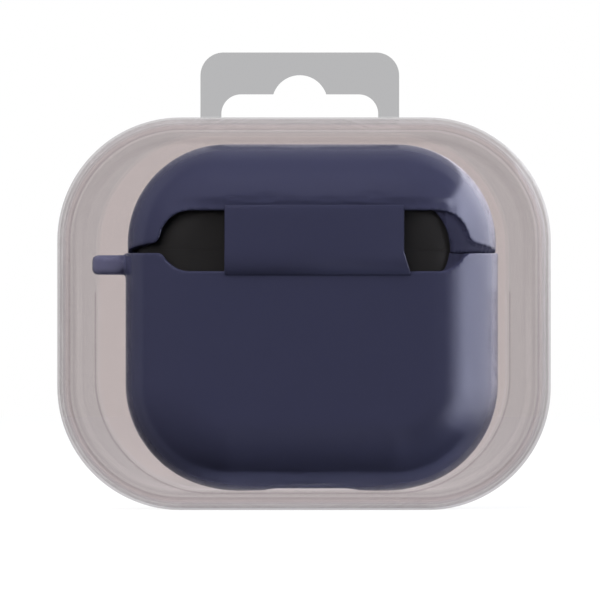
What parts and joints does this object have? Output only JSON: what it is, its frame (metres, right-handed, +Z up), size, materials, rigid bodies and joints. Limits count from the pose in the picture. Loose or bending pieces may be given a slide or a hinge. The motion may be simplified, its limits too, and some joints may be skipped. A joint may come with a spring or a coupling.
{
  "type": "wireless earbuds case",
  "caption": "Charging case for earbuds in a navy silicone cover with strap hinge and side lug, packed in a clear hang box that opens in two halves.",
  "frame": {"origin": "middle of the box's foot, where the packed case stands on a table", "axes": "+Z up, -Y towards the viewer who sees the case's hinge side, +X to that viewer's right"},
  "size_m": [0.07, 0.031, 0.0653],
  "materials": {
    "clear_box": "clear moulded polystyrene, gloss",
    "tab_sheet": "grey translucent sheet",
    "navy_silicone": "satin liquid silicone",
    "black_case": "satin black polycarbonate",
    "black_liner": "fine matt moulding",
    "hinge_steel": "brushed stainless steel",
    "screw_steel": "blackened screw steel",
    "magnet_nickel": "nickel-plated magnet",
    "cell_foil": "laminated foil pouch",
    "board_green": "solder-masked board",
    "chip_black": "moulded epoxy",
    "port_steel": "nickel-plated steel shell",
    "coil_copper": "enamelled copper wire",
    "contact_gold": "gold-plated contact",
    "light_pipe": "clear-white acrylic",
    "flex_film": "polyimide film"
  },
  "bodies": {
    "case": {"cover_base": "navy_silicone", "cover_strap": "navy_silicone", "case_base_shell": "black_case", "cradle": "black_liner", "hinge_base_leaf": "hinge_steel", "hinge_pin": "hinge_steel", "hinge_spring": "hinge_steel", "hinge_base_screws": "screw_steel", "base_magnet": "magnet_nickel", "bud_magnets": "magnet_nickel", "battery_cell": "cell_foil", "main_board": "board_green", "board_chips": "chip_black", "port_board": "board_green", "usb_receptacle": "port_steel", "charging_coil": "coil_copper", "ferrite_sheet": "chip_black", "left_contact_block": "black_liner", "right_contact_block": "black_liner", "left_contact_springs": "hinge_steel", "right_contact_springs": "hinge_steel", "light_pipe": "light_pipe", "status_flex": "flex_film"},
    "lid": {"cover_lid": "navy_silicone", "case_lid_shell": "black_case", "lid_liner": "black_liner", "hinge_lid_leaf": "hinge_steel", "hinge_lid_screws": "screw_steel", "lid_magnet": "magnet_nickel"},
    "box_front": {"box_front_shell": "clear_box"},
    "box_back": {"box_back_shell": "clear_box", "inner_tray": "clear_box", "hang_tab": "tab_sheet"},
    "left_pins": {"left_contact_pins": "contact_gold"},
    "right_pins": {"right_contact_pins": "contact_gold"}
  },
  "joints": [
    {"name": "box_front_slide", "type": "slide", "parent": "case", "child": "box_front", "axis": [0, -1, 0], "range_m": [0, 0.09]},
    {"name": "box_back_slide", "type": "slide", "parent": "case", "child": "box_back", "axis": [0, 1, 0], "range_m": [0, 0.09]},
    {"name": "lid_hinge", "type": "hinge", "parent": "case", "child": "lid", "pos_m": [0.00145, -0.0107, 0.037], "axis": [1, 0, 0], "range_deg": [0, 100], "deforming": ["cover_strap"]},
    {"name": "left_pins_press", "type": "slide", "parent": "case", "child": "left_pins", "axis": [0, 0, -1], "range_m": [0, 0.0008], "stiffness_N_per_m": 250, "springref_m": -0.0004, "deforming": ["left_contact_springs"]},
    {"name": "right_pins_press", "type": "slide", "parent": "case", "child": "right_pins", "axis": [0, 0, -1], "range_m": [0, 0.0008], "stiffness_N_per_m": 250, "springref_m": -0.0004, "deforming": ["right_contact_springs"]}
  ],
  "couplings": [
    {"joint": "lid_hinge", "follows": "box_front_slide", "rad_per_m": 19.391}
  ]
}
